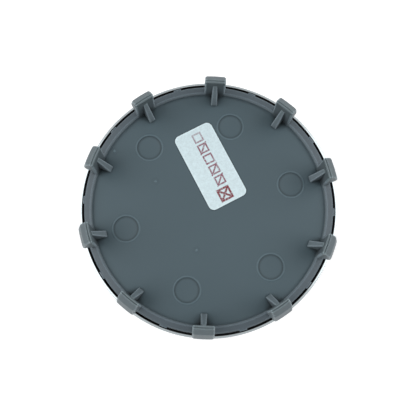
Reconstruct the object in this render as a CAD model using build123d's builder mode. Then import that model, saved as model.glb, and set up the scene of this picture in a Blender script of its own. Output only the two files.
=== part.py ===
"""Wheel centre cap, lying face down with its snap clips up.

A moulded clip base is pressed into a thin face cover and carries a paper sticker on its back.
Heights are measured from the front of the cover, and the X axis runs through a clip.
"""

import os
from math import radians, tan

from build123d import *

# Face cover
face_diameter = 64.0
cover_wall = 0.65
cover_floor = 1.6
front_edge_chamfer = 0.9
field_diameter = 50.0
field_depth = 0.45
field_flank = 0.8
rim_chamfer = 0.15
rim_step = 0.5

# Plate and ring of the clip base
plate_thickness = 2.0
ring_gap = 0.5
ring_width = 1.85
ring_rise = 1.0
ring_inner_chamfer = 0.4
ring_outer_chamfer = 0.25
seat_chamfer = 0.4

# Locating lugs in the gap, one between each two clips
lug_width = 1.9
lug_height = 2.0
lug_drop = 0.1
lug_clearance = 0.2
lug_root = 0.5

# Snap clips, with heights stacked up from the plate
clip_count = 10
clip_foot_width = 5.3
clip_head_width = 4.92
clip_inner_chamfer = 0.4
clip_outer_round = 0.8
arm_thickness = 1.5
arm_lean = 7.3
arm_height = 3.5
hook_overhang = 1.53
hook_underside_rise = 0.85
nose_land = 0.5
lower_lead_rise = 4.45
lower_lead_inset = 1.55
upper_lead_rise = 1.4
top_land = 0.92
top_chamfer = 0.25
top_groove_inset = 0.42
top_groove_width = 0.2
top_groove_depth = 0.12
root_depth = 0.5
outline_margin = 0.1

# Gusset ribs behind the clips
rib_reach = 2.9
rib_toe_height = 0.8
rib_root_height = 8.0
rib_foot_width = 1.55
rib_root_width = 1.05
rib_root_land = 0.1
rib_bite = 0.6

# Round ejector marks on the plate
mark_count = 6
mark_pitch_radius = 21.25
mark_radius = 2.95
mark_depth = 0.12
mark_lip_width = 0.4
mark_lip_height = 0.08

# Paper sticker
sticker_length = 21.05
sticker_width = 10.35
sticker_corner = 1.45
sticker_thickness = 0.12
sticker_x = 3.02
sticker_y = 9.88
sticker_angle = -77.7

# Places worked out from the sizes above
face_radius = face_diameter / 2
field_radius = field_diameter / 2
cover_inner_radius = face_radius - cover_wall
ring_outer_radius = cover_inner_radius - ring_gap
ring_inner_radius = ring_outer_radius - ring_width
plate_top = cover_floor + plate_thickness
ring_top = plate_top + ring_rise
rim_top = ring_top - rim_step
span_angle = 360 / clip_count


def leaned(foot_radius, height):
    """Radius of a leaning clip wall at a height above the plate."""
    return foot_radius - height * tan(radians(arm_lean))


# Clip profile, from the plate up the outer side and over the head
arm_outer_radius = ring_inner_radius + arm_thickness
nose_low = arm_height + hook_underside_rise
nose_high = nose_low + nose_land
lead_break = nose_high + lower_lead_rise
clip_height = lead_break + upper_lead_rise
nose_radius = leaned(arm_outer_radius, nose_low) + hook_overhang
head_inner_radius = leaned(ring_inner_radius, clip_height)
groove_inner_radius = head_inner_radius + top_groove_inset
groove_outer_radius = groove_inner_radius + top_groove_width
outline_radius = nose_radius + outline_margin

# Face cover: a shallow dish with a chamfered front edge and a plain sunk field
with BuildPart() as face_cover:
    with BuildSketch(Plane.XZ):
        with BuildLine():
            Polyline(
                (0, field_depth),
                (field_radius - field_flank, field_depth),
                (field_radius, 0),
                (face_radius - front_edge_chamfer, 0),
                (face_radius, front_edge_chamfer),
                (face_radius, rim_top - rim_chamfer),
                (face_radius - rim_chamfer, rim_top),
                (cover_inner_radius + rim_chamfer, rim_top),
                (cover_inner_radius, rim_top - rim_chamfer),
                (cover_inner_radius, cover_floor),
                (0, cover_floor),
                close=True,
            )
        make_face()
    revolve(axis=Axis.Z)

# One clip with its rib, standing on the X axis
with BuildPart() as clip:
    # Hook profile, turned about the cap's axis
    with BuildSketch(Plane.XZ):
        with BuildLine():
            Polyline(
                (head_inner_radius - top_land, plate_top - root_depth),
                (leaned(arm_outer_radius, -root_depth), plate_top - root_depth),
                (leaned(arm_outer_radius, arm_height), plate_top + arm_height),
                (nose_radius, plate_top + nose_low),
                (nose_radius, plate_top + nose_high),
                (nose_radius - lower_lead_inset, plate_top + lead_break),
                (head_inner_radius + top_land, plate_top + clip_height),
                (groove_outer_radius, plate_top + clip_height),
                (groove_inner_radius + top_groove_width / 2, plate_top + clip_height - top_groove_depth),
                (groove_inner_radius, plate_top + clip_height),
                (head_inner_radius + top_chamfer, plate_top + clip_height),
                (head_inner_radius - top_land, plate_top + clip_height - top_chamfer - top_land),
                close=True,
            )
        make_face()
    revolve(axis=Axis.Z)
    # Drafted outline with broken corners, leaning with the arm
    for height, width in ((-root_depth, clip_foot_width), (clip_height, clip_head_width)):
        inner_radius = leaned(ring_inner_radius, height)
        with BuildSketch(Plane.XY.offset(plate_top + height)) as outline:
            with Locations((inner_radius, 0)):
                Rectangle(outline_radius - inner_radius, width, align=(Align.MIN, Align.CENTER))
            corners = outline.vertices().group_by(Axis.X)
            chamfer(corners[0], length=clip_inner_chamfer)
            fillet(corners[-1], radius=clip_outer_round)
    loft(ruled=True, mode=Mode.INTERSECT)
    # Gusset rib, tapering from its toe on the plate up to the arm
    with BuildSketch(Plane.XY.offset(plate_top + rib_toe_height)) as rib_toe:
        with Locations((ring_inner_radius - rib_reach, 0)):
            Rectangle(rib_reach + rib_bite, rib_foot_width, align=(Align.MIN, Align.CENTER))
    with BuildSketch(Plane.XY.offset(plate_top + rib_root_height)):
        with Locations((leaned(ring_inner_radius, rib_root_height) - rib_root_land, 0)):
            Rectangle(rib_root_land + rib_bite, rib_root_width, align=(Align.MIN, Align.CENTER))
    loft()
    extrude(rib_toe.sketch, amount=-rib_toe_height - root_depth)

# Plate and ring, turned, with the clips, lugs and ejector marks set round them
with BuildPart() as clip_base:
    with BuildSketch(Plane.XZ):
        with BuildLine():
            Polyline(
                (0, cover_floor),
                (ring_outer_radius - seat_chamfer, cover_floor),
                (ring_outer_radius, cover_floor + seat_chamfer),
                (ring_outer_radius, ring_top - ring_outer_chamfer),
                (ring_outer_radius - ring_outer_chamfer, ring_top),
                (ring_inner_radius + ring_inner_chamfer, ring_top),
                (ring_inner_radius, ring_top - ring_inner_chamfer),
                (ring_inner_radius, plate_top),
                (0, plate_top),
                close=True,
            )
        make_face()
    revolve(axis=Axis.Z)
    with PolarLocations(0, clip_count):
        add(clip.part)
    with BuildSketch(Plane.XY.offset(ring_top - lug_drop)):
        with PolarLocations(ring_outer_radius - lug_root, clip_count, start_angle=span_angle / 2):
            Rectangle(lug_root + ring_gap - lug_clearance, lug_width, align=(Align.MIN, Align.CENTER))
    extrude(amount=-lug_height)
    with BuildSketch(Plane.XY.offset(plate_top)):
        with PolarLocations(mark_pitch_radius, mark_count):
            Circle(mark_radius + mark_lip_width)
    extrude(amount=mark_lip_height)
    with BuildSketch(Plane.XY.offset(plate_top + mark_lip_height)):
        with PolarLocations(mark_pitch_radius, mark_count):
            Circle(mark_radius)
    extrude(amount=-mark_lip_height - mark_depth, mode=Mode.SUBTRACT)

# Sticker on the plate, set askew
with BuildPart() as paper_sticker:
    with BuildSketch(Plane.XY.offset(plate_top)):
        with Locations(Location((sticker_x, sticker_y), sticker_angle)):
            RectangleRounded(sticker_length, sticker_width, sticker_corner)
    extrude(amount=sticker_thickness)

clip_base.part.label = "clip_base"
face_cover.part.label = "face_cover"
paper_sticker.part.label = "paper_sticker"

os.makedirs("parts", exist_ok=True)
export_step(clip_base.part, "parts/clip_base.step")
export_step(face_cover.part, "parts/face_cover.step")
export_step(paper_sticker.part, "parts/paper_sticker.step")
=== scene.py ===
"""Looks of a wheel centre cap that lies face down on a pale studio floor.

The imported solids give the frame: metres, the cap's axis on Z, the front on z = 0 and the X axis through a
clip. Each piece is modelled with the edges that its solid leaves sharp rounded as a moulding has them, and
it stands for that solid. Sizes are in millimetres where no line says metres. A band is the pair of places
between which a mask rises or falls.
"""

import logging
import math
from dataclasses import dataclass, field
from enum import Enum
from typing import Any, Dict, List, Optional, Sequence, Tuple, Union

import bmesh
import bpy
from mathutils import Matrix, Vector

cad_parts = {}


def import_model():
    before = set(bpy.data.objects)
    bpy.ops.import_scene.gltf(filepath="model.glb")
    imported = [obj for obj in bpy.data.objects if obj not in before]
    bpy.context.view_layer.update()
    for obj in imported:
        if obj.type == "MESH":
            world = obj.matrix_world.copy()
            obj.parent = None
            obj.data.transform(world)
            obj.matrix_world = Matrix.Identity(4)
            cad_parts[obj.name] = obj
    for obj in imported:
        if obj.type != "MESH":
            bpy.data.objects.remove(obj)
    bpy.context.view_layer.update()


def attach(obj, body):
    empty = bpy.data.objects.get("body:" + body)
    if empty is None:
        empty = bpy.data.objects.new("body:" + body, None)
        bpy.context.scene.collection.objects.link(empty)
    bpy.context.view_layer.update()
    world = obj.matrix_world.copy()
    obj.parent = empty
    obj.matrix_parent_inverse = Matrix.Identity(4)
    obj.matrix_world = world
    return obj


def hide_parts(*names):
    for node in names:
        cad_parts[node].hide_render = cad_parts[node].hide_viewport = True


LOG = logging.getLogger("centre_cap")
BODY = "root"

# Units and shares
MM = 0.001
MM_PER_M = 1000.0
DIAGONAL = math.sqrt(0.5)
NOISE_MEAN = 0.5

# Sizes that several pieces or finishes use
PLATE_Z = 3.6
RING_Z = 4.6
RING_INNER = 29.0
CLIP_COUNT = 10
ARM_LEAN_DEG = 7.3

# Mesh settings that several pieces use
TURN_STEPS = 240
POLE_RADIUS = 0.5
STRAIGHT_HALF_DEG = 89.5

Point2 = Tuple[float, float]
Point3 = Tuple[float, float, float]
Band = Tuple[float, float]
Colour = Tuple[float, float, float]
Loop = List[Vector]


class Slot(Enum):
    """Material slots of the record."""

    MOULDED = "moulded_grey"
    SILVER = "silver_shell"
    LABEL = "paper_label"


class Cut(Enum):
    """Ways of joining one mesh with another."""

    UNITE = "UNION"
    REMOVE = "DIFFERENCE"


def rounded(corners: Sequence[Point2], radii: Sequence[float], steps: int = 4) -> List[Point2]:
    """Rounds the corners of an open line in a plane.

    Args:
        corners: Corner points in order.
        radii: One radius for each corner, 0 for a sharp one.
        steps: Straight steps along each round.

    Returns:
        Points of the line with its rounds.
    """
    line: List[Point2] = [corners[0]]
    for before, corner, after, radius in zip(corners, corners[1:], corners[2:], radii[1:]):
        here = Vector(corner)
        back = (Vector(before) - here).normalized()
        ahead = (Vector(after) - here).normalized()
        half = math.acos(max(-1.0, min(1.0, back.dot(ahead)))) / 2
        if radius <= 0 or half > math.radians(STRAIGHT_HALF_DEG):
            line.append(corner)
            continue
        reach = radius / math.tan(half)
        centre = here + (back + ahead).normalized() * (radius / math.sin(half))
        start = here + back * reach - centre
        end = here + ahead * reach - centre
        turn = start.angle_signed(end)
        for step in range(steps + 1):
            angle = -turn * step / steps
            arm = Vector((
                start.x * math.cos(angle) - start.y * math.sin(angle),
                start.x * math.sin(angle) + start.y * math.cos(angle),
            ))
            line.append(tuple(centre + arm))
    line.append(corners[-1])
    return line


def along(line: Sequence[Point2], height: float) -> float:
    """Reads a line of (radius, height) points that rises all the way.

    Args:
        line: Points in order of height.
        height: Height to read at.

    Returns:
        The radius at that height.
    """
    for (r0, z0), (r1, z1) in zip(line, line[1:]):
        if z0 <= height <= z1 and z1 > z0:
            return r0 + (r1 - r0) * (height - z0) / (z1 - z0)
    return line[-1][0] if height > line[-1][1] else line[0][0]


def arc_drop(radius: float, offset: float) -> float:
    """Reads how far a quarter round falls away from the flat that it starts from.

    Args:
        radius: Radius of the round.
        offset: Distance from the side where the round ends.

    Returns:
        The fall at that offset, 0 on the flat.
    """
    if offset >= radius:
        return 0.0
    return radius - math.sqrt(max(0.0, radius ** 2 - (radius - offset) ** 2))


class Bench:
    """Modelling steps that work on one mesh piece at a time."""

    @staticmethod
    def take(piece: bpy.types.Object) -> None:
        """Makes a piece the only selected and active object.

        Args:
            piece: Piece to work on next.
        """
        bpy.ops.object.select_all(action="DESELECT")
        piece.select_set(True)
        bpy.context.view_layer.objects.active = piece

    @staticmethod
    def named(piece: bpy.types.Object, name: str) -> bpy.types.Object:
        """Gives a piece and its mesh one name.

        Args:
            piece: Piece to name.
            name: Its name.

        Returns:
            The same piece.
        """
        piece.name = name
        piece.data.name = name
        return piece

    @staticmethod
    def lofted(name: str, loops: Sequence[Loop]) -> bpy.types.Object:
        """Draws a closed skin up through a stack of loops.

        Args:
            name: Name of the piece.
            loops: Closed loops with the same count of points, in metres.

        Returns:
            The piece, capped at both ends, with its faces outwards.
        """
        bpy.ops.object.select_all(action="DESELECT")
        bpy.ops.mesh.primitive_circle_add(vertices=len(loops[0]), radius=MM, fill_type="NGON")
        piece = Bench.named(bpy.context.active_object, name)
        bpy.ops.object.mode_set(mode="EDIT")
        mesh = bmesh.from_edit_mesh(piece.data)
        mesh.verts.ensure_lookup_table()
        indices = list(range(len(loops[0])))
        for index, point in zip(indices, loops[0]):
            mesh.verts[index].co = point
        bmesh.update_edit_mesh(piece.data)
        for loop in loops[1:]:
            bpy.ops.mesh.extrude_region_move()
            mesh = bmesh.from_edit_mesh(piece.data)
            mesh.verts.ensure_lookup_table()
            raised = []
            for index, point in zip(indices, loop):
                foot = mesh.verts[index]
                tip = next(e.other_vert(foot) for e in foot.link_edges if e.other_vert(foot).select)
                raised.append((tip, point))
            for tip, point in raised:
                tip.co = point
            mesh.verts.index_update()
            indices = [tip.index for tip, _ in raised]
            bmesh.update_edit_mesh(piece.data)
        bpy.ops.mesh.select_all(action="SELECT")
        bpy.ops.mesh.normals_make_consistent(inside=False)
        bpy.ops.object.mode_set(mode="OBJECT")
        return piece

    @staticmethod
    def turned(name: str, profile: Sequence[Point2], steps: int = TURN_STEPS) -> bpy.types.Object:
        """Turns an open profile about the Z axis.

        Args:
            name: Name of the piece.
            profile: Points of (radius, height) in order.
            steps: Straight steps round the axis.

        Returns:
            The piece, capped at the profile's two ends.
        """
        spokes = [2 * math.pi * k / steps for k in range(steps)]
        points = [(r * MM, z * MM) for r, z in profile]
        loops = [[Vector((r * math.cos(a), r * math.sin(a), z)) for a in spokes] for r, z in points]
        return Bench.lofted(name, loops)

    @staticmethod
    def ringed(piece: bpy.types.Object, count: int, start: float = 0.0) -> bpy.types.Object:
        """Copies a piece round the Z axis, each copy with its own mesh, and joins the copies.

        Args:
            piece: Piece to copy, which is used up.
            count: Number of copies.
            start: Angle of the first copy, in radians.

        Returns:
            One object that holds all the copies.
        """
        copies = []
        for k in range(count):
            twin = piece.copy()
            twin.data = piece.data.copy()
            twin.data.transform(Matrix.Rotation(start + 2 * math.pi * k / count, 4, "Z"))
            bpy.context.scene.collection.objects.link(twin)
            copies.append(twin)
        name = piece.name
        bpy.data.objects.remove(piece)
        return Bench.joined(copies, name)

    @staticmethod
    def joined(pieces: Sequence[bpy.types.Object], name: str) -> bpy.types.Object:
        """Joins pieces into the first of them.

        Args:
            pieces: Pieces to join.
            name: Name of the result.

        Returns:
            The first piece, which now holds all the meshes.
        """
        Bench.take(pieces[0])
        for piece in pieces:
            piece.select_set(True)
        bpy.ops.object.join()
        return Bench.named(bpy.context.active_object, name)

    @staticmethod
    def worked(piece: bpy.types.Object, tool: bpy.types.Object, cut: Cut) -> None:
        """Joins a tool's mesh with a piece.

        Args:
            piece: Piece to change.
            tool: Piece that is added or cut away, and is used up.
            cut: Whether it is added or cut away.
        """
        Bench.take(piece)
        change = piece.modifiers.new(cut.name.lower(), "BOOLEAN")
        change.operation = cut.value
        change.solver = "EXACT"
        change.object = tool
        bpy.ops.object.modifier_apply(modifier=change.name)
        bpy.data.objects.remove(tool)

    @staticmethod
    def cleaned(piece: bpy.types.Object, reach: float = 0.001 * MM) -> None:
        """Merges doubled points and removes faces with no area.

        Args:
            piece: Piece to clean.
            reach: Distance under which two points are one, in metres.
        """
        Bench.take(piece)
        bpy.ops.object.mode_set(mode="EDIT")
        bpy.ops.mesh.select_all(action="SELECT")
        bpy.ops.mesh.remove_doubles(threshold=reach)
        bpy.ops.mesh.dissolve_degenerate(threshold=reach)
        bpy.ops.object.mode_set(mode="OBJECT")

    @staticmethod
    def smoothed(piece: bpy.types.Object, angle_deg: float = 32.0, weight: int = 80) -> None:
        """Shades the rounds smooth and keeps the flats flat.

        Args:
            piece: Piece to shade.
            angle_deg: Steepest fold that is still shaded smooth.
            weight: How far large faces rule the shading of their edges, to 100.
        """
        Bench.take(piece)
        bpy.ops.object.shade_smooth_by_angle(angle=math.radians(angle_deg))
        change = piece.modifiers.new("flat_faces", "WEIGHTED_NORMAL")
        change.keep_sharp = True
        change.weight = weight
        bpy.ops.object.modifier_apply(modifier=change.name)


class Value:
    """A shader value whose operators add Math nodes to its material."""

    def __init__(self, sheet: "Sheet", socket: bpy.types.NodeSocket) -> None:
        """Wraps an output socket of a material's nodes."""
        self.sheet = sheet
        self.socket = socket

    def _math(self, operation: str, *others: Any, first: bool = True) -> "Value":
        """Adds a Math node with this value as its first or its second input."""
        inputs = [self, *others] if first else [others[0], self]
        return self.sheet.value("ShaderNodeMath", {"operation": operation}, dict(enumerate(inputs)))

    def __add__(self, other: Any) -> "Value":
        """Sum of two values."""
        return self._math("ADD", other)

    __radd__ = __add__

    def __sub__(self, other: Any) -> "Value":
        """Difference of two values."""
        return self._math("SUBTRACT", other)

    def __rsub__(self, other: Any) -> "Value":
        """Difference from a number."""
        return self._math("SUBTRACT", other, first=False)

    def __mul__(self, other: Any) -> "Value":
        """Product of two values."""
        return self._math("MULTIPLY", other)

    __rmul__ = __mul__

    def __truediv__(self, other: Any) -> "Value":
        """Quotient of two values."""
        return self._math("DIVIDE", other)

    def __rtruediv__(self, other: Any) -> "Value":
        """Quotient of a number and a value."""
        return self._math("DIVIDE", other, first=False)

    def __abs__(self) -> "Value":
        """Size of a value without its sign."""
        return self._math("ABSOLUTE")

    def least(self, other: Any) -> "Value":
        """The lower of two values."""
        return self._math("MINIMUM", other)

    def most(self, other: Any) -> "Value":
        """The higher of two values."""
        return self._math("MAXIMUM", other)

    def root(self) -> "Value":
        """Square root."""
        return self._math("SQRT")

    def whole(self) -> "Value":
        """Nearest whole number."""
        return self._math("ROUND")

    def angle(self, other: Any) -> "Value":
        """Angle of the point whose other coordinate is given."""
        return self._math("ARCTAN2", other)

    def cosine(self) -> "Value":
        """Cosine of an angle."""
        return self._math("COSINE")

    def sine(self) -> "Value":
        """Sine of an angle."""
        return self._math("SINE")

    def away(self, other: "Value") -> "Value":
        """Distance from the origin of the point whose other coordinate is given."""
        return (self * self + other * other).root()

    def rise(self, low: float, high: float) -> "Value":
        """Goes smoothly from 0 at low to 1 at high."""
        settings = {"interpolation_type": "SMOOTHSTEP"}
        return self.sheet.value("ShaderNodeMapRange", settings, {0: self, 1: low, 2: high})

    def fall(self, low: float, high: float) -> "Value":
        """Goes smoothly from 1 at low to 0 at high."""
        return 1.0 - self.rise(low, high)


Input = Union[Value, bpy.types.NodeSocket, float, Sequence[float]]
Settings = Dict[str, Any]
Sockets = Dict[Union[int, str], Input]


class Sheet:
    """The node sheet of one material or of the world."""

    def __init__(self, tree: bpy.types.NodeTree) -> None:
        """Starts from an empty tree."""
        self.tree = tree
        tree.nodes.clear()

    @classmethod
    def material(cls, name: str) -> Tuple["Sheet", bpy.types.Material]:
        """Makes a new material.

        Args:
            name: Name of the material.

        Returns:
            Its empty sheet, and the material.
        """
        material = bpy.data.materials.new(name)
        material.use_nodes = True
        return cls(material.node_tree), material

    def node(
        self, kind: str, settings: Optional[Settings] = None, sockets: Optional[Sockets] = None
    ) -> bpy.types.Node:
        """Adds a node.

        Args:
            kind: Type of the node.
            settings: The node's own settings, which are set first.
            sockets: Values or links of its inputs, by name or number.

        Returns:
            The node.
        """
        node = self.tree.nodes.new(kind)
        for key, setting in (settings or {}).items():
            setattr(node, key, setting)
        for key, item in (sockets or {}).items():
            socket = node.inputs[key]
            if isinstance(item, Value):
                item = item.socket
            if isinstance(item, bpy.types.NodeSocket):
                self.tree.links.new(item, socket)
            elif socket.type == "RGBA" and len(item) == 3:
                socket.default_value = (*item, 1.0)
            else:
                socket.default_value = item
        return node

    def value(
        self,
        kind: str,
        settings: Optional[Settings] = None,
        sockets: Optional[Sockets] = None,
        output: Union[int, str] = 0,
    ) -> Value:
        """Adds a node and wraps one of its outputs."""
        return Value(self, self.node(kind, settings, sockets).outputs[output])

    def place(self) -> Tuple[Value, Value, Value]:
        """Reads a point's place on its piece.

        Returns:
            Object coordinates in millimetres.
        """
        coordinates = self.node("ShaderNodeTexCoord").outputs["Object"]
        split = self.node("ShaderNodeSeparateXYZ", sockets={0: coordinates})
        x, y, z = (Value(self, output) * MM_PER_M for output in split.outputs)
        return x, y, z

    def noise(self, per_mm: float, detail: float, roughness: float = 0.55) -> Value:
        """Adds even noise.

        Args:
            per_mm: Cycles for each millimetre.
            detail: Finer octaves that are added.
            roughness: Weight of each finer octave.

        Returns:
            The noise, about a mean of 0.5.
        """
        coordinates = self.node("ShaderNodeTexCoord").outputs["Object"]
        scale = [MM_PER_M * per_mm] * 3
        spread = self.node("ShaderNodeMapping", sockets={"Vector": coordinates, "Scale": scale})
        sockets = {"Vector": spread.outputs[0], "Scale": 1.0, "Detail": detail, "Roughness": roughness}
        return self.value("ShaderNodeTexNoise", {"noise_dimensions": "3D"}, sockets, "Fac")

    def hollow(self, reach: float, inside: bool) -> Value:
        """Share of short rays that hit the piece itself: at crevices, or at edges when cast inwards."""
        settings = {"samples": 8, "inside": inside, "only_local": True}
        return 1.0 - self.value("ShaderNodeAmbientOcclusion", settings, {"Distance": reach * MM}, "AO")

    def seen(self) -> Value:
        """Finds the rays that show a background as it is.

        Returns:
            1 for a ray from the camera, from a gloss or through glass, and 0 for light on the object.
        """
        ray = self.node("ShaderNodeLightPath").outputs
        camera, gloss, glass = (
            Value(self, ray[name]) for name in ("Is Camera Ray", "Is Glossy Ray", "Is Transmission Ray")
        )
        return camera.most(gloss).most(glass)

    def mixed(self, factor: Input, first: Input, second: Input) -> bpy.types.NodeSocket:
        """Mixes two colours."""
        sockets = {0: factor, 6: first, 7: second}
        return self.node("ShaderNodeMix", {"data_type": "RGBA"}, sockets).outputs[2]

    def scaled(self, colour: Input, factor: Input) -> bpy.types.NodeSocket:
        """Makes a colour lighter or darker by a factor."""
        sockets = {0: colour, "Scale": factor}
        return self.node("ShaderNodeVectorMath", {"operation": "SCALE"}, sockets).outputs[0]

    def bumped(
        self, height: Value, distance: float, strength: float, normal: Optional[bpy.types.NodeSocket] = None
    ) -> bpy.types.NodeSocket:
        """Turns a height into a normal.

        Args:
            height: Height, from 0 to 1.
            distance: What a height of 1 stands for.
            strength: Share of the bump that shows.
            normal: Normal that the bump is added to, or None for the piece's own.

        Returns:
            The normal.
        """
        sockets: Sockets = {"Height": height, "Distance": distance * MM, "Strength": strength}
        if normal is not None:
            sockets["Normal"] = normal
        return self.node("ShaderNodeBump", sockets=sockets).outputs["Normal"]

    def surface(self, sockets: Sockets) -> None:
        """Ends the sheet in one principled surface."""
        shader = self.node("ShaderNodeBsdfPrincipled", sockets=sockets)
        self.node("ShaderNodeOutputMaterial", sockets={"Surface": shader.outputs[0]})


@dataclass(frozen=True)
class LabelPlace:
    """Where the paper label lies on the plate, and its outline."""

    centre: Point2 = (3.02, 9.88)
    angle_deg: float = -77.7
    length: float = 21.05
    width: float = 10.35
    corner: float = 1.45

    def along_label(self, x: Value, y: Value) -> Tuple[Value, Value]:
        """Turns a place on the plate into one on the label.

        Args:
            x: Place along X.
            y: Place along Y.

        Returns:
            Places along and across the label, from its centre.
        """
        turn = math.radians(self.angle_deg)
        x, y = x - self.centre[0], y - self.centre[1]
        return x * math.cos(turn) + y * math.sin(turn), y * math.cos(turn) - x * math.sin(turn)

    def border(self, u: Value, v: Value) -> Value:
        """Reads the distance from the label's rounded outline.

        Args:
            u: Place along the label.
            v: Place across the label.

        Returns:
            The distance outside the outline, negative inside it.
        """
        over_u = abs(u) - (self.length / 2 - self.corner)
        over_v = abs(v) - (self.width / 2 - self.corner)
        return over_u.most(0.0).away(over_v.most(0.0)) + over_u.most(over_v).least(0.0) - self.corner


@dataclass(frozen=True)
class PlateMarks:
    """Where the round ejector marks and the moulding specks are on the plate."""

    count: int = 6
    pitch: float = 21.25
    radius: float = 3.05
    lip_width: float = 0.5
    specks: Tuple[Point2, ...] = ((-11.3, 9.64), (-5.87, -9.7), (-19.37, 19.81))


@dataclass(frozen=True)
class MouldedGrey:
    """Grey injection-moulded plastic, smooth on the plate and satin on the ring and clips."""

    # Colours, and the bands of height or depth where they meet
    plate: Colour = (0.072, 0.107, 0.125)
    satin: Colour = (0.107, 0.132, 0.147)
    ring: Colour = (0.082, 0.107, 0.125)
    head: Colour = (0.094, 0.119, 0.129)
    # The lead colour is a lighter copy of the grey, painted light on the hooks' outer lead faces.
    lit_lead: Colour = (0.106, 0.136, 0.151)
    plate_band: Band = (3.72, 4.0)
    head_band: Band = (9.0, 12.5)
    hook_band: Band = (7.0, 7.6)
    lead_band: Band = (0.85, 1.05)
    # Cloudy tone and moulded grain
    cloud_per_mm: float = 0.05
    cloud_detail: float = 2.0
    cloud_gain: float = 0.10
    grain_per_mm: float = 1.7
    grain_detail: float = 3.0
    grain_gain: float = 0.16
    grain_plate_loss: float = 0.11
    # Painted highlights along the edges and at the clips' ends, and painted shade in the crevices and deep
    # corners
    edge_reach: float = 0.28
    edge_band: Band = (0.01, 0.14)
    edge_highlight_gain: float = 0.75
    end_band: Band = (2.0, 2.2)
    end_highlight_gain: float = 0.9
    crevice_reach: float = 0.7
    crevice_shade_loss: float = 0.6
    wall_shade_loss: float = 0.25
    nook_reach: float = 3.0
    nook_band: Band = (0.35, 0.75)
    nook_back: Band = (-0.3, -0.1)
    nook_front: Band = (1.6, 2.8)
    nook_side: Band = (2.2, 2.8)
    nook_height: Band = (3.0, 6.0)
    nook_shade_loss: float = 0.75
    # Ejector marks with a painted shadow line and a painted lip highlight, specks with a painted shadow
    # halo, and the label's painted shadow on the plate
    marks: PlateMarks = PlateMarks()
    line_inset: float = 0.5 / 3
    line_reach: float = 0.5
    line_shade_loss: float = 0.24
    lip_reach: float = 0.375
    lip_highlight_gain: float = 0.40
    speck_band: Band = (0.24, 0.52)
    speck_gain: float = 0.45
    halo_radius: float = 0.8
    halo_reach: float = 0.4
    halo_shade_loss: float = 0.07
    label: LabelPlace = LabelPlace()
    label_reach: float = 0.45
    label_shadow_loss: float = 0.42
    # Top of the ring, and its inner edge, where a highlight is painted
    ring_inside: Band = (28.9, 29.3)
    ring_low: Band = (4.2, 4.3)
    ring_high: Band = (4.62, 4.7)
    ring_highlight_inside: Band = (28.8, 28.9)
    ring_highlight_outside: Band = (29.3, 29.4)
    ring_highlight_low: Band = (3.75, 3.95)
    ring_highlight_high: Band = (4.65, 4.8)
    ring_highlight_gain: float = 0.34
    # Place of the clips, and the ridges of their ribs and broken corners of their arms, where highlights
    # are painted
    clip_count: int = CLIP_COUNT
    plate_z: float = PLATE_Z
    arm_foot: float = RING_INNER
    arm_lean_deg: float = ARM_LEAN_DEG
    rib_reach: float = 3.1
    rib_fall: float = 0.374
    rib_front: Band = (0.02, 0.12)
    rib_side: Band = (0.85, 0.95)
    rib_foot: Band = (0.1, 0.6)
    rib_ridge: Band = (0.15, 0.5)
    rib_highlight_gain: float = 0.48
    arm_half: float = 2.62
    arm_taper: float = 0.0178
    strip_inside: Band = (0.4, 0.5)
    strip_outside: Band = (-0.12, -0.06)
    strip_depth: Band = (-0.5, -0.4)
    strip_low: Band = (1.1, 1.3)
    strip_high: Band = (9.0, 10.0)
    strip_highlight_gain: float = 0.65
    # Gloss and bump
    roughness: float = 0.52
    plate_polish: float = 0.06
    edge_polish: float = 0.1
    ring_polish: float = 0.14
    grain_roughness: float = 0.12
    specular: float = 0.3
    bump_per_mm: float = 7.0
    bump_detail: float = 2.0
    bump_height: float = 0.012
    bump_strength: float = 0.3
    edge_round: float = 0.10
    edge_samples: int = 6

    def make(self) -> bpy.types.Material:
        """Makes the material.

        Returns:
            The material.
        """
        sheet, material = Sheet.material("moulded_grey")
        x, y, z = sheet.place()
        radius = x.away(y)
        ahead, side = self._clip_place(x, y, z)
        floor = z.fall(*self.plate_band)
        hook = z.rise(*self.hook_band)
        ring = self._ring_top(radius, z)
        colour = sheet.mixed(z.rise(*self.head_band), self.satin, self.head)
        # Painted light: the hooks' outer lead faces take the lighter lead colour.
        colour = sheet.mixed((0.0 - ahead).rise(*self.lead_band) * hook, colour, self.lit_lead)
        colour = sheet.mixed(ring, colour, self.ring)
        colour = sheet.mixed(floor, colour, self.plate)
        cloud = sheet.noise(self.cloud_per_mm, self.cloud_detail) - NOISE_MEAN
        grain = sheet.noise(self.grain_per_mm, self.grain_detail) - NOISE_MEAN
        edge = sheet.hollow(self.edge_reach, inside=True).rise(*self.edge_band) * (1.0 - floor)
        crevice = sheet.hollow(self.crevice_reach, inside=False)
        shade = 1.0 + cloud * self.cloud_gain + grain * (self.grain_gain - floor * self.grain_plate_loss)
        # Painted highlights along convex edges, stronger at the ends of the clips' heads.
        wear = edge * (self.edge_highlight_gain + side.rise(*self.end_band) * hook * self.end_highlight_gain)
        # Painted highlight on the ring's inner edge as well.
        shade = shade * (1.0 + wear + self._ring_edge_highlight(radius, z) * self.ring_highlight_gain)
        # Painted highlights on the rib ridges and on the arms' broken corners.
        rib, strip = self._clip_highlights(ahead, side, z)
        shade = shade * (1.0 + rib * self.rib_highlight_gain + strip * self.strip_highlight_gain)
        # Painted shade in the crevices, stronger on the plate than on the walls.
        shade = shade * (1.0 - crevice * (self.wall_shade_loss + floor * (self.crevice_shade_loss - self.wall_shade_loss)))
        # Painted shade in the deep corners between rib, arm and plate.
        shade = shade * (1.0 - self._nook(sheet, ahead, side, z) * self.nook_shade_loss)
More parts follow.
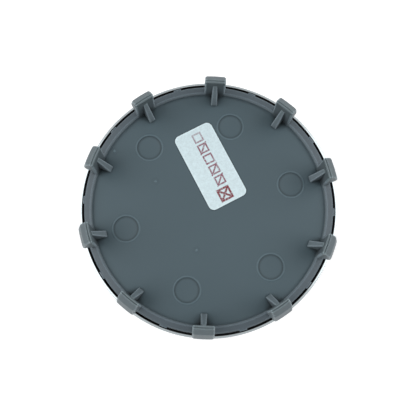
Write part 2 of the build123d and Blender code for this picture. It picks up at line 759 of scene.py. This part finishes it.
        # Painted shadow on the plate round the label; the marks and specks add their painted shade and
        # highlights.
        label_shadow = self.label.border(*self.label.along_label(x, y)).fall(0.0, self.label_reach)
        marked = self._mark_tone(x, y) + self._speck_tone(x, y) - label_shadow * self.label_shadow_loss
        shade = shade * (1.0 + floor * marked)
        rough = self.roughness - floor * self.plate_polish + grain * self.grain_roughness
        fine = sheet.noise(self.bump_per_mm, self.bump_detail)
        soft_edge = sheet.node(
            "ShaderNodeBevel", {"samples": self.edge_samples}, {"Radius": self.edge_round * MM}
        )
        sheet.surface({
            "Base Color": sheet.scaled(colour, shade),
            "Roughness": rough - edge * self.edge_polish - ring * self.ring_polish,
            "Specular IOR Level": self.specular,
            "Normal": sheet.bumped(fine, self.bump_height, self.bump_strength, soft_edge.outputs[0]),
        })
        return material

    @staticmethod
    def _spoke(x: Value, y: Value, count: int) -> Tuple[Value, Value]:
        """Turns a place on the cap into one on the nearest of some even spokes.

        Args:
            x: Place along X.
            y: Place along Y.
            count: Number of spokes, the first on the X axis.

        Returns:
            Places along and across the spoke.
        """
        step = 2 * math.pi / count
        turn = y.angle(x)
        turn = turn - (turn / step).whole() * step
        reach = x.away(y)
        return reach * turn.cosine(), reach * turn.sine()

    def _clip_place(self, x: Value, y: Value, z: Value) -> Tuple[Value, Value]:
        """Turns a place on the cap into one at the nearest clip.

        Args:
            x: Place along X.
            y: Place along Y.
            z: Height.

        Returns:
            Distance ahead of the arm's leaning front, towards the axis, and distance to the side of the
            clip's middle.
        """
        along_spoke, across_spoke = self._spoke(x, y, self.clip_count)
        lean = math.tan(math.radians(self.arm_lean_deg))
        return self.arm_foot - (z - self.plate_z) * lean - along_spoke, abs(across_spoke)

    def _clip_highlights(self, ahead: Value, side: Value, z: Value) -> Tuple[Value, Value]:
        """Finds where highlights are painted on the clips.

        Args:
            ahead: Distance ahead of the arm.
            side: Distance to the side of the clip's middle.
            z: Height.

        Returns:
            Shares of the ridges of the gusset ribs and of the arms' broken corners.
        """
        height = z - self.plate_z
        behind = self.rib_reach - height * self.rib_fall - ahead
        rib = ahead.rise(*self.rib_front) * side.fall(*self.rib_side) * height.rise(*self.rib_foot)
        rib = rib * behind.fall(*self.rib_ridge)
        inset = self.arm_half - height * self.arm_taper - side
        strip = inset.fall(*self.strip_inside) * inset.rise(*self.strip_outside)
        strip = strip * ahead.rise(*self.strip_depth)
        strip = strip * height.rise(*self.strip_low) * height.fall(*self.strip_high)
        return rib, strip

    def _nook(self, sheet: Sheet, ahead: Value, side: Value, z: Value) -> Value:
        """Finds the deep corners between rib, arm and plate, where shade is painted.

        Args:
            sheet: Sheet of the material.
            ahead: Distance ahead of the arm.
            side: Distance to the side of the clip's middle.
            z: Height.

        Returns:
            Share of the corners.
        """
        height = z - self.plate_z
        zone = ahead.rise(*self.nook_back) * ahead.fall(*self.nook_front)
        zone = zone * side.fall(*self.nook_side) * height.fall(*self.nook_height)
        return sheet.hollow(self.nook_reach, inside=False).rise(*self.nook_band) * zone

    def _mark_tone(self, x: Value, y: Value) -> Value:
        """Paints shade and light at the ejector marks: a painted shadow line round the floor of each, and a
        painted highlight on the lip outside it.

        Args:
            x: Place along X.
            y: Place along Y.

        Returns:
            Tone of the marks, negative where they are darker than the plate.
        """
        along_spoke, across_spoke = self._spoke(x, y, self.marks.count)
        distance = (along_spoke - self.marks.pitch).away(across_spoke)
        line = abs(distance - (self.marks.radius - self.line_inset)).fall(0.0, self.line_reach)
        lip = abs(distance - (self.marks.radius + self.marks.lip_width / 2)).fall(0.0, self.lip_reach)
        return lip * self.lip_highlight_gain - line * self.line_shade_loss

    def _speck_tone(self, x: Value, y: Value) -> Value:
        """Draws the pale moulding specks, each in a faint halo of painted shadow.

        Args:
            x: Place along X.
            y: Place along Y.

        Returns:
            Tone of the specks, negative where they are darker than the plate.
        """
        reach = None
        for at_x, at_y in self.marks.specks:
            one = (x - at_x).away(y - at_y)
            reach = one if reach is None else reach.least(one)
        halo = abs(reach - self.halo_radius).fall(0.0, self.halo_reach)
        return reach.fall(*self.speck_band) * self.speck_gain - halo * self.halo_shade_loss

    def _ring_top(self, radius: Value, z: Value) -> Value:
        """Share of the ring's top."""
        return z.rise(*self.ring_low) * z.fall(*self.ring_high) * radius.rise(*self.ring_inside)

    def _ring_edge_highlight(self, radius: Value, z: Value) -> Value:
        """Share of the ring's inner edge, where a highlight is painted."""
        band = radius.rise(*self.ring_highlight_inside) * radius.fall(*self.ring_highlight_outside)
        return band * z.rise(*self.ring_highlight_low) * z.fall(*self.ring_highlight_high)


@dataclass(frozen=True)
class SilverLacquer:
    """Silver lacquer on the outside of the cover, with bare black plastic on its inner wall, painted near
    black as the shade of the narrow gap.
    """

    silver: Colour = (0.396, 0.438, 0.453)
    bare_black_gap_shade: Colour = (0.003, 0.003, 0.004)
    bare_outside: Band = (31.43, 31.47)
    bare_low: Band = (1.55, 1.65)
    bare_high: Band = (4.16, 4.22)
    flake_per_mm: float = 14.0
    drift_per_mm: float = 0.09
    detail: float = 2.0
    least_tone: float = 0.96
    flake_gain: float = 0.06
    drift_gain: float = 0.05
    metal: float = 0.9
    roughness: float = 0.22
    flake_roughness: float = 0.06
    bare_roughness: float = 0.5
    flake_height: float = 0.004
    flake_strength: float = 0.25

    def make(self) -> bpy.types.Material:
        """Makes the material.

        Returns:
            The material.
        """
        sheet, material = Sheet.material("silver_shell")
        x, y, z = sheet.place()
        # The inner wall's near-black is partly bare black plastic and partly painted shade of the deep gap.
        inner = x.away(y).fall(*self.bare_outside) * z.rise(*self.bare_low) * z.fall(*self.bare_high)
        flake = sheet.noise(self.flake_per_mm, self.detail)
        drift = sheet.noise(self.drift_per_mm, self.detail) - NOISE_MEAN
        tone = self.least_tone + flake * self.flake_gain + drift * self.drift_gain
        rough = self.roughness + (flake - NOISE_MEAN) * self.flake_roughness + inner * self.bare_roughness
        sheet.surface({
            "Base Color": sheet.mixed(inner, sheet.scaled(self.silver, tone), self.bare_black_gap_shade),
            "Metallic": (1.0 - inner) * self.metal,
            "Roughness": rough,
            "Normal": sheet.bumped(flake, self.flake_height, self.flake_strength),
        })
        return material


@dataclass(frozen=True)
class LabelPaper:
    """Pale coated paper with a worn red stamp: a row of tick boxes and a bold crossed box."""

    # Paper
    paper: Colour = (0.685, 0.825, 0.868)
    place: LabelPlace = LabelPlace()
    fibre_per_mm: float = 2.6
    fibre_detail: float = 4.0
    fibre_gain: float = 0.30
    fibre_height: float = 0.01
    fibre_strength: float = 0.3
    mottle_per_mm: float = 1.1
    mottle_detail: float = 3.0
    mottle_gain: float = 0.26
    rim_reach: float = 0.6
    rim_highlight_gain: float = 0.09
    roughness: float = 0.7
    specular: float = 0.3
    # Stamp
    ink: Colour = (0.225, 0.050, 0.088)
    bold_ink: Colour = (0.20, 0.022, 0.035)
    wear_per_mm: float = 2.4
    wear_detail: float = 3.0
    wear_band: Band = (0.32, 0.56)
    stroke: float = 0.2
    bold_stroke: float = 0.26
    stroke_band: Band = (0.6, 1.4)
    row_v: float = 0.5
    row_ink: float = 0.4
    row_wear: float = 0.55
    fade_band: Band = (-10.0, -5.0)
    fade: float = 0.45
    box_at: Tuple[float, ...] = (-7.9, -4.85, -1.8, 1.25, 4.3)
    ticked_at: Tuple[float, ...] = (-4.85, 1.25, 4.3)
    box_half: float = 1.05
    tick_band: Band = (1.365, 1.47)
    seal_at: Point2 = (8.0, -0.05)
    seal_half: float = 1.45
    seal_band: Band = (1.45, 1.55)
    seal_ink: float = 0.55
    seal_wear: float = 0.45

    def make(self) -> bpy.types.Material:
        """Makes the material.

        Returns:
            The material.
        """
        sheet, material = Sheet.material("paper_label")
        fibre = sheet.noise(self.fibre_per_mm, self.fibre_detail)
        mottle = sheet.noise(self.mottle_per_mm, self.mottle_detail)
        x, y, _ = sheet.place()
        u, v = self.place.along_label(x, y)
        rim = (0.0 - self.place.border(u, v)).fall(0.0, self.rim_reach)
        tone = 1.0 + (mottle - NOISE_MEAN) * self.mottle_gain + (fibre - NOISE_MEAN) * self.fibre_gain
        # Painted highlight: the paper is lighter along its edge.
        paper = sheet.scaled(self.paper, tone + rim * self.rim_highlight_gain)
        wear = sheet.noise(self.wear_per_mm, self.wear_detail).rise(*self.wear_band)
        fresh = (1.0 - self.fade) + u.rise(*self.fade_band) * self.fade
        row = self._row(u, v) * (self.row_ink + wear * self.row_wear) * fresh
        seal = self._seal(u, v) * (self.seal_ink + wear * self.seal_wear)
        sheet.surface({
            "Base Color": sheet.mixed(seal, sheet.mixed(row, paper, self.ink), self.bold_ink),
            "Roughness": self.roughness,
            "Specular IOR Level": self.specular,
            "Normal": sheet.bumped(fibre, self.fibre_height, self.fibre_strength),
        })
        return material

    def _drawn(self, edge: Value, stroke: float) -> Value:
        """Draws a line of the stamp where a distance is zero."""
        low, high = self.stroke_band
        return abs(edge).fall(stroke * low, stroke * high)

    def _row(self, u: Value, v: Value) -> Value:
        """Draws the row of square boxes, and a slanted tick through some of them.

        Args:
            u: Place along the label.
            v: Place across the label.

        Returns:
            Share of ink.
        """
        across = v - self.row_v
        row = None
        for at in self.box_at:
            along_row = u - at
            reach = abs(along_row).most(abs(across))
            square = self._drawn(reach - self.box_half, self.stroke)
            if at in self.ticked_at:
                slant = abs(along_row + across) * DIAGONAL
                square = square.most(self._drawn(slant, self.stroke) * reach.fall(*self.tick_band))
            row = square if row is None else row.most(square)
        return row

    def _seal(self, u: Value, v: Value) -> Value:
        """Draws the bold crossed box at the end of the row.

        Args:
            u: Place along the label.
            v: Place across the label.

        Returns:
            Share of ink.
        """
        across_u, across_v = abs(u - self.seal_at[0]), abs(v - self.seal_at[1])
        reach = across_u.most(across_v)
        frame = self._drawn(reach - self.seal_half, self.bold_stroke)
        cross = self._drawn((across_u - across_v) * DIAGONAL, self.bold_stroke)
        return frame.most(cross * reach.fall(*self.seal_band))


@dataclass(frozen=True)
class StudioFloor:
    """Pale floor that shows white to the camera and keeps the soft shadow."""

    tone: Colour = (0.85, 0.85, 0.85)
    lift: float = 0.45
    lift_band: Band = (150.0, 900.0)

    def make(self) -> bpy.types.Material:
        """Makes the material.

        Returns:
            The material.
        """
        sheet, material = Sheet.material("studio_floor")
        matt = sheet.node("ShaderNodeBsdfDiffuse", sockets={"Color": self.tone})
        x, y, _ = sheet.place()
        lift = sheet.seen() * (self.lift + x.away(y).rise(*self.lift_band) * (1.0 - self.lift))
        glow = sheet.node("ShaderNodeEmission", sockets={"Strength": lift})
        both = sheet.node("ShaderNodeAddShader", sockets={0: matt.outputs[0], 1: glow.outputs[0]})
        sheet.node("ShaderNodeOutputMaterial", sockets={"Surface": both.outputs[0]})
        return material


@dataclass
class SnapClip:
    """One snap clip with its gusset rib, modelled on the X axis."""

    # Arm
    foot_z: float = PLATE_Z
    ring_inner: float = RING_INNER
    arm_lean_deg: float = ARM_LEAN_DEG
    root_depth: float = 0.5
    foot_width: float = 5.3
    head_width: float = 4.92
    arm_thickness: float = 1.5
    arm_height: float = 3.5
    # Hook and head
    hook_overhang: float = 1.52
    hook_underside_rise: float = 0.85
    nose_land: float = 0.5
    lower_lead_rise: float = 4.45
    lower_lead_inset: float = 1.55
    upper_lead_rise: float = 1.39
    top_land: float = 0.92
    top_chamfer: float = 0.25
    # Rounds of the profile, from the hook's underside over the top to the inner side
    underside_round: float = 0.2
    nose_low_round: float = 0.18
    nose_high_round: float = 0.15
    lead_round: float = 0.25
    top_round: float = 0.12
    chamfer_round: float = 0.1
    crest_round: float = 0.06
    # Rounds of the outline
    inner_round: float = 0.4
    outer_round: float = 1.1
    side_round: float = 0.14
    head_round: float = 0.5
    end_round: float = 0.22
    round_share: float = 0.45
    outline_margin: float = 0.1
    edge_offsets: Tuple[float, ...] = (0.0, 0.015, 0.05, 0.1, 0.14, 0.22, 0.3, 0.4, 0.6, 0.8, 1.0, 1.7)
    level_digits: int = 5
    # Groove along the head
    groove_inset: float = 0.42
    groove_width: float = 0.26
    groove_depth: float = 0.2
    groove_overrun: float = 1.2
    groove_steps: int = 16
    # Gusset rib
    rib_reach: float = 2.9
    rib_toe_height: float = 0.8
    rib_root_height: float = 8.0
    rib_foot_width: float = 1.55
    rib_root_width: float = 1.05
    rib_root_land: float = 0.1
    rib_bite: float = 0.6
    rib_round: float = 0.2
    toe_round: float = 0.55
    toe_steps: int = 6

    def leaned(self, radius: float, height: float) -> float:
        """Radius of a leaning wall at a height above the plate."""
        return radius - height * math.tan(math.radians(self.arm_lean_deg))

    def outer_line(self) -> List[Point2]:
        """Draws the outer profile of arm and hook.

        Returns:
            Points of (radius, height above the plate), from the root to the top.
        """
        foot = self.ring_inner + self.arm_thickness
        nose_low = self.arm_height + self.hook_underside_rise
        nose_high = nose_low + self.nose_land
        lead_break = nose_high + self.lower_lead_rise
        nose = self.leaned(foot, nose_low) + self.hook_overhang
        top = lead_break + self.upper_lead_rise
        head = self.leaned(self.ring_inner, top)
        corners = [
            (self.leaned(foot, -self.root_depth), -self.root_depth),
            (self.leaned(foot, self.arm_height), self.arm_height),
            (nose, nose_low),
            (nose, nose_high),
            (nose - self.lower_lead_inset, lead_break),
            (head + self.top_land, top),
            (head + self.top_chamfer, top),
        ]
        noses = (self.underside_round, self.nose_low_round, self.nose_high_round)
        return rounded(corners, (0, *noses, self.lead_round, self.top_round, 0))[:-1]

    def inner_line(self) -> List[Point2]:
        """Draws the inner profile with the chamfer at its top.

        Returns:
            Points of (radius, height above the plate), from the root to the top.
        """
        top = self.outer_line()[-1][1]
        head = self.leaned(self.ring_inner, top)
        corners = [
            (self.leaned(self.ring_inner, -self.root_depth), -self.root_depth),
            (self.leaned(self.ring_inner, top - self.top_chamfer), top - self.top_chamfer),
            (head + self.top_chamfer, top),
            (head + self.top_land, top),
        ]
        return rounded(corners, (0, self.chamfer_round, self.crest_round, 0))[:-1]

    def outer_edge(self, outer: float, half: float, offset: float) -> float:
        """Reads where the outline ends on the outer side, inside its large corner rounds.

        Args:
            outer: Radius of the outer profile.
            half: Half of the clip's width.
            offset: Distance from the clip's side.

        Returns:
            X of the outer edge.
        """
        arc = math.sqrt(max(0.0, outer ** 2 - (half - offset) ** 2))
        if offset >= self.outer_round:
            return arc
        bend = self.outer_round - offset
        fence = max(r for r, _ in self.outer_line()) + self.outline_margin - self.outer_round
        return min(arc, fence + math.sqrt(max(0.0, self.outer_round ** 2 - bend ** 2)))

    def section(self, height: float) -> Loop:
        """Draws the clip's outline at a height.

        Args:
            height: Height above the plate.

        Returns:
            The closed outline, in metres.
        """
        outer_line = self.outer_line()
        top = outer_line[-1][1]
        outer, inner = along(outer_line, height), along(self.inner_line(), height)
        share = (height + self.root_depth) / (top + self.root_depth)
        half = (self.foot_width + (self.head_width - self.foot_width) * share) / 2
        half -= arc_drop(self.end_round, top - height)
        rise = min(1.0, max(0.0, height - self.arm_height) / (self.hook_underside_rise + self.nose_land))
        widest = self.round_share * (outer - inner)
        side_round = min(self.side_round + (self.head_round - self.side_round) * rise, widest)
        inner_round = min(self.inner_round, widest)
        edges: List[Point3] = []
        for offset in self.edge_offsets:
            out = self.outer_edge(outer, half, max(offset, side_round)) - arc_drop(side_round, offset)
            edges.append((half - offset, inner + arc_drop(inner_round, offset), out))
        middle = (0.0, inner, self.outer_edge(outer, half, half))
        mirrored = edges + [middle] + [(-y, i, o) for y, i, o in reversed(edges)]
        z = self.foot_z + height
        loop = [Vector((o, y, z)) * MM for y, _, o in mirrored]
        return loop + [Vector((i, y, z)) * MM for y, i, _ in reversed(mirrored)]

    def rib_section(self, front: float, height: float) -> Loop:
        """Draws the rib's outline at a height.

        Args:
            front: Radius of the rib's front.
            height: Height above the plate.

        Returns:
            The closed outline, in metres.
        """
        span = self.rib_root_height - self.rib_toe_height
        share = max(0.0, (height - self.rib_toe_height) / span)
        half = (self.rib_foot_width + (self.rib_root_width - self.rib_foot_width) * share) / 2
        back = self.leaned(self.ring_inner, max(height, self.rib_toe_height)) + self.rib_bite
        corners = [(back, 0.0), (back, half), (front, half), (front, -half), (back, -half), (back, 0.0)]
        outline = rounded(corners, (0, 0, self.rib_round, self.rib_round, 0, 0))[:-1]
        return [Vector((x, y, self.foot_z + height)) * MM for x, y in outline]

    def groove(self) -> bpy.types.Object:
        """Shapes the tool that cuts the groove along the head's top.

        Returns:
            The tool.
        """
        height = self.outer_line()[-1][1]
        half = self.groove_width / 2
        middle = self.leaned(self.ring_inner, height) + self.groove_inset + half
        top = self.foot_z + height
        spare = self.groove_depth / 2
        wide = half * (1 + spare / self.groove_depth)
        section = [
            (middle - wide, top + spare),
            (middle, top - self.groove_depth),
            (middle + wide, top + spare),
        ]
        reach = math.asin(self.foot_width / 2 / middle) * self.groove_overrun
        turns = [reach * (2 * k / self.groove_steps - 1) for k in range(self.groove_steps + 1)]
        loops = [[Vector((r * math.cos(a), r * math.sin(a), z)) * MM for r, z in section] for a in turns]
        return Bench.lofted("groove", loops)

    def build(self) -> bpy.types.Object:
        """Builds the clip and its rib.

        Returns:
            One mesh of both.
        """
        levels = sorted({round(z, self.level_digits) for _, z in self.outer_line() + self.inner_line()})
        clip = Bench.lofted("clip", [self.section(z) for z in levels])
        toe = self.ring_inner - self.rib_reach
        crest = self.leaned(self.ring_inner, self.rib_root_height) - self.rib_root_land
        corners = [(toe, -self.root_depth), (toe, self.rib_toe_height), (crest, self.rib_root_height)]
        line = rounded(corners, (0, self.toe_round, 0), self.toe_steps)
        rib = Bench.lofted("rib", [self.rib_section(front, height) for front, height in line])
        Bench.worked(clip, rib, Cut.UNITE)
        Bench.worked(clip, self.groove(), Cut.REMOVE)
        return clip


@dataclass
class ClipBase:
    """Moulded base: plate, ring, clips, lugs and ejector marks in one piece."""

    # Plate and ring
    seat_z: float = 1.6
    plate_z: float = PLATE_Z
    ring_z: float = RING_Z
    ring_inner: float = RING_INNER
    ring_outer: float = 30.85
    inner_chamfer: float = 0.3
    outer_chamfer: float = 0.25
    seat_chamfer: float = 0.4
    wall_draft: float = 0.1
    ring_fall: float = 0.15
    seat_round: float = 0.1
    outer_round: float = 0.12
    inner_round: float = 0.2
    foot_round: float = 0.12
    # Locating lugs
    lug_width: float = 1.9
    lug_tip: float = 31.15
    lug_root: float = 0.5
    lug_drop: float = 0.2
    lug_height: float = 1.9
    lug_round: float = 0.08
    lug_round_steps: int = 2
    # Ejector marks and specks
    marks: PlateMarks = PlateMarks()
    mark_depth: float = 0.12
    mark_draft: float = 0.04
    mark_round: float = 0.06
    mark_spare: float = 0.4
    mark_steps: int = 72
    lip_height: float = 0.08
    lip_slope: float = 0.1
    lip_round: float = 0.12
    lip_root: float = 0.3
    speck_radius: float = 0.4
    speck_height: float = 0.14
    speck_divisions: int = 3
    # Clips
    clip_count: int = CLIP_COUNT
    clip: SnapClip = field(default_factory=SnapClip)

    def turned_body(self) -> bpy.types.Object:
        """Turns the plate and ring.

        Returns:
            The body that the rest is joined to.
        """
        corners = [
            (POLE_RADIUS, self.seat_z),
            (self.ring_outer - self.seat_chamfer, self.seat_z),
            (self.ring_outer, self.seat_z + self.seat_chamfer),
            (self.ring_outer, self.ring_z - self.ring_fall - self.outer_chamfer),
            (self.ring_outer - self.outer_chamfer, self.ring_z - self.ring_fall),
            (self.ring_inner + self.inner_chamfer, self.ring_z),
            (self.ring_inner, self.ring_z - self.inner_chamfer),
            (self.ring_inner - self.wall_draft, self.plate_z),
            (POLE_RADIUS, self.plate_z),
        ]
        seat, outer, inner = [self.seat_round] * 2, [self.outer_round] * 2, [self.inner_round] * 2
        line = rounded(corners, (0, *seat, *outer, *inner, self.foot_round, 0))
        return Bench.turned("clip_base_moulding", line)

    def lugs(self) -> bpy.types.Object:
        """Shapes one locating lug from a cube and sets one between each two clips.

        Returns:
            All the lugs.
        """
        inner = self.ring_outer - self.lug_root
        top = self.ring_z - self.lug_drop
        bpy.ops.object.select_all(action="DESELECT")
        bpy.ops.mesh.primitive_cube_add(size=1.0)
        lug = Bench.named(bpy.context.active_object, "lugs")
        size = Vector((self.lug_tip - inner, self.lug_width, self.lug_height)) * MM
        centre = Vector(((self.lug_tip + inner) / 2, 0, top - self.lug_height / 2)) * MM
        lug.data.transform(Matrix.LocRotScale(centre, None, size))
        bpy.ops.object.mode_set(mode="EDIT")
        bpy.ops.mesh.select_all(action="SELECT")
        bpy.ops.mesh.bevel(offset=self.lug_round * MM, segments=self.lug_round_steps, affect="EDGES")
        bpy.ops.object.mode_set(mode="OBJECT")
        return Bench.ringed(lug, self.clip_count, math.pi / self.clip_count)

    def at_marks(self, name: str, line: Sequence[Point2]) -> bpy.types.Object:
        """Turns a small profile and sets a copy of it at each ejector mark.

        Args:
            name: Name of the result.
            line: Points of (radius, height above the plate).

        Returns:
            All the copies.
        """
        piece = Bench.turned(name, [(r, self.plate_z + z) for r, z in line], self.mark_steps)
        piece.data.transform(Matrix.Translation((self.marks.pitch * MM, 0, 0)))
        return Bench.ringed(piece, self.marks.count)

    def lips(self) -> bpy.types.Object:
        """Shapes the low lips round the ejector marks.

        Returns:
            All the lips, as discs that the marks are still to be cut into.
        """
        outer = self.marks.radius + self.marks.lip_width
        corners = [
            (outer, -self.lip_root),
            (outer, 0.0),
            (outer - self.lip_slope, self.lip_height),
            (self.marks.radius, self.lip_height),
        ]
        return self.at_marks("lips", rounded(corners, (0, 0, self.lip_round, 0)))

    def recesses(self) -> bpy.types.Object:
        """Shapes the tool that cuts the ejector marks.

        Returns:
            The tool for all the marks.
        """
        corners = [
            (POLE_RADIUS, -self.mark_depth),
            (self.marks.radius, -self.mark_depth),
            (self.marks.radius + self.mark_draft, self.mark_spare),
        ]
        return self.at_marks("recess", rounded(corners, (0, self.mark_round, 0)))

    def speck_domes(self) -> bpy.types.Object:
        """Flattens a small sphere and sets a copy at each moulding speck.

        Returns:
            All the specks.
        """
        size = Vector((self.speck_radius, self.speck_radius, self.speck_height)) * MM
        domes = []
        for x, y in self.marks.specks:
            bpy.ops.object.select_all(action="DESELECT")
            bpy.ops.mesh.primitive_ico_sphere_add(subdivisions=self.speck_divisions, radius=1.0)
            dome = Bench.named(bpy.context.active_object, "speck")
            dome.data.transform(Matrix.LocRotScale(Vector((x, y, self.plate_z)) * MM, None, size))
            domes.append(dome)
        return Bench.joined(domes, "specks")

    def build(self) -> bpy.types.Object:
        """Builds the whole moulding.

        Returns:
            The piece.
        """
        body = self.turned_body()
        clips = Bench.ringed(self.clip.build(), self.clip_count)
        lips = self.lips()
        raised = Bench.joined([clips, self.lugs(), lips, self.speck_domes()], "raised")
        Bench.worked(body, raised, Cut.UNITE)
        Bench.worked(body, self.recesses(), Cut.REMOVE)
        Bench.cleaned(body)
        Bench.smoothed(body)
        return body

    def dress(self, finish: MouldedGrey) -> bpy.types.Object:
        """Builds the moulding and sets it in the frame.

        Args:
            finish: Finish of the whole piece.

        Returns:
            The piece.
        """
        piece = self.build()
        piece.data.materials.clear()
        piece.data.materials.append(finish.make())
        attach(piece, BODY)
        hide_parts("clip_base")
        LOG.info("clip base: %d faces", len(piece.data.polygons))
        return piece


@dataclass
class FaceCover:
    """Silver front shell that the base sits in."""

    radius: float = 31.98
    inner_radius: float = 31.35
    floor: float = 1.6
    floor_round: float = 0.05
    rim_z: float = 4.1
    rim_fall: float = 0.13
    rim_land: float = 0.1
    rim_round: float = 0.08
    edge_round: float = 1.5
    field_radius: float = 25.0
    field_depth: float = 0.45
    field_flank: float = 0.8
    field_round: float = 0.25
    round_steps: int = 6

    def build(self) -> bpy.types.Object:
        """Turns the shell.

        Returns:
            The piece.
        """
        inner = self.inner_radius
        corners = [
            (POLE_RADIUS, self.field_depth),
            (self.field_radius - self.field_flank, self.field_depth),
            (self.field_radius, 0.0),
            (self.radius, 0.0),
            (self.radius, self.rim_z - self.rim_fall),
            (inner + self.rim_land, self.rim_z),
            (inner, self.rim_z - self.rim_land),
            (inner, self.floor),
            (POLE_RADIUS, self.floor),
        ]
        front, rim = [self.field_round] * 2, [self.rim_round] * 3
        line = rounded(corners, (0, *front, self.edge_round, *rim, self.floor_round, 0), self.round_steps)
        piece = Bench.turned("face_cover_shell", line)
        Bench.smoothed(piece)
        return piece

    def dress(self, finish: SilverLacquer) -> bpy.types.Object:
        """Builds the shell and sets it in the frame.

        Args:
            finish: Finish of the whole piece.

        Returns:
            The piece.
        """
        piece = self.build()
        piece.data.materials.append(finish.make())
        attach(piece, BODY)
        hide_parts("face_cover")
        LOG.info("face cover: %d faces", len(piece.data.polygons))
        return piece


@dataclass
class PaperSticker:
    """Small paper label on the plate, set askew."""

    place: LabelPlace = LabelPlace()
    base_z: float = PLATE_Z
    thickness: float = 0.12
    edge_round: float = 0.03
    edge_steps: int = 2
    corner_steps: int = 10

    def build(self) -> bpy.types.Object:
        """Cuts the label from a plane, rounds its corners and gives it its thickness.

        Returns:
            The piece.
        """
        bpy.ops.object.select_all(action="DESELECT")
        bpy.ops.mesh.primitive_plane_add(size=1.0)
        piece = Bench.named(bpy.context.active_object, "paper_sticker_label")
        piece.data.transform(Matrix.Diagonal((self.place.length * MM, self.place.width * MM, 1.0, 1.0)))
        bpy.ops.object.mode_set(mode="EDIT")
        bpy.ops.mesh.select_all(action="SELECT")
        bpy.ops.mesh.bevel(offset=self.place.corner * MM, segments=self.corner_steps, affect="VERTICES")
        bpy.ops.mesh.select_all(action="SELECT")
        bpy.ops.mesh.extrude_region_move(TRANSFORM_OT_translate={"value": (0, 0, self.thickness * MM)})
        bpy.ops.mesh.bevel(offset=self.edge_round * MM, segments=self.edge_steps, affect="EDGES")
        bpy.ops.mesh.select_all(action="SELECT")
        bpy.ops.mesh.normals_make_consistent(inside=False)
        bpy.ops.object.mode_set(mode="OBJECT")
        turn = Matrix.Rotation(math.radians(self.place.angle_deg), 4, "Z")
        shift = Matrix.Translation(Vector((*self.place.centre, self.base_z)) * MM)
        piece.data.transform(shift @ turn)
        Bench.smoothed(piece)
        return piece

    def dress(self, finish: LabelPaper) -> bpy.types.Object:
        """Builds the label and sets it in the frame.

        Args:
            finish: Finish of the whole piece.

        Returns:
            The piece.
        """
        piece = self.build()
        piece.data.materials.append(finish.make())
        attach(piece, BODY)
        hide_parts("paper_sticker")
        LOG.info("paper sticker: %d faces", len(piece.data.polygons))
        return piece


@dataclass(frozen=True)
class Softbox:
    """A round soft lamp that points at the cap, in metres and watts."""

    name: str
    place: Point3
    size: float
    power: float


@dataclass
class Studio:
    """Floor, light and camera."""

    camera_place: Point3 = (-5.9723, -14.5461, 113.4718)
    camera_right: Point3 = (0.964581, -0.26336, 0.015011)
    camera_up: Point3 = (0.258926, 0.956144, 0.136914)
    camera_back: Point3 = (-0.050411, -0.128178, 0.990469)
    camera_start: float = 5.0
    lens: float = 38.5523
    sensor: float = 36.0
    floor_size_m: float = 6.0
    horizon: float = 0.8
    zenith: float = 0.17
    sky_band: Band = (0.1, 0.95)
    softboxes: Tuple[Softbox, ...] = (
        Softbox("left_softbox", (-0.36, 0.096, 0.39), 0.56, 1.6),
        Softbox("right_softbox", (0.38, -0.03, 0.38), 0.52, 1.3),
    )

    def lay_floor(self) -> None:
        """Lays the floor under the cap."""
        bpy.ops.object.select_all(action="DESELECT")
        bpy.ops.mesh.primitive_plane_add(size=self.floor_size_m)
        floor = Bench.named(bpy.context.active_object, "studio_floor")
        floor.data.materials.append(StudioFloor().make())

    def set_lamps(self) -> None:
        """Sets the soft lamps."""
        for softbox in self.softboxes:
            lamp = bpy.data.lights.new(softbox.name, "AREA")
            lamp.shape = "DISK"
            lamp.size = softbox.size
            lamp.energy = softbox.power
            holder = bpy.data.objects.new(softbox.name, lamp)
            holder.location = softbox.place
            holder.rotation_euler = (-Vector(softbox.place)).to_track_quat("-Z", "Y").to_euler()
            bpy.context.scene.collection.objects.link(holder)

    def set_sky(self) -> None:
        """Sets the sky, which lights the cap from low down and shows white to the camera."""
        world = bpy.data.worlds.new("studio_sky")
        world.use_nodes = True
        bpy.context.scene.world = world
        sheet = Sheet(world.node_tree)
        direction = sheet.node("ShaderNodeTexCoord").outputs["Generated"]
        up = sheet.value("ShaderNodeSeparateXYZ", sockets={0: direction}, output=2).rise(*self.sky_band)
        seen = sheet.seen()
        strength = seen + (1.0 - seen) * (self.horizon + up * (self.zenith - self.horizon))
        sky = sheet.node("ShaderNodeBackground", sockets={"Color": (1, 1, 1), "Strength": strength})
        sheet.node("ShaderNodeOutputWorld", sockets={"Surface": sky.outputs[0]})

    def set_camera(self) -> None:
        """Sets the camera over the back of the cap."""
        camera = bpy.data.cameras.new("camera")
        camera.lens = self.lens
        camera.sensor_width = self.sensor
        camera.clip_start = self.camera_start * MM
        holder = bpy.data.objects.new("camera", camera)
        turn = Matrix((self.camera_right, self.camera_up, self.camera_back)).transposed().to_4x4()
        holder.matrix_world = Matrix.Translation(Vector(self.camera_place) * MM) @ turn
        bpy.context.scene.collection.objects.link(holder)
        bpy.context.scene.camera = holder


def main() -> None:
    """Builds the pieces in order, then the studio."""
    logging.basicConfig(level=logging.INFO, format="%(message)s")
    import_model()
    ClipBase().dress(MouldedGrey())
    FaceCover().dress(SilverLacquer())
    PaperSticker().dress(LabelPaper())
    studio = Studio()
    studio.lay_floor()
    studio.set_lamps()
    studio.set_sky()
    studio.set_camera()
    bpy.context.scene.view_settings.view_transform = "Standard"


if __name__ == "__main__":
    main()
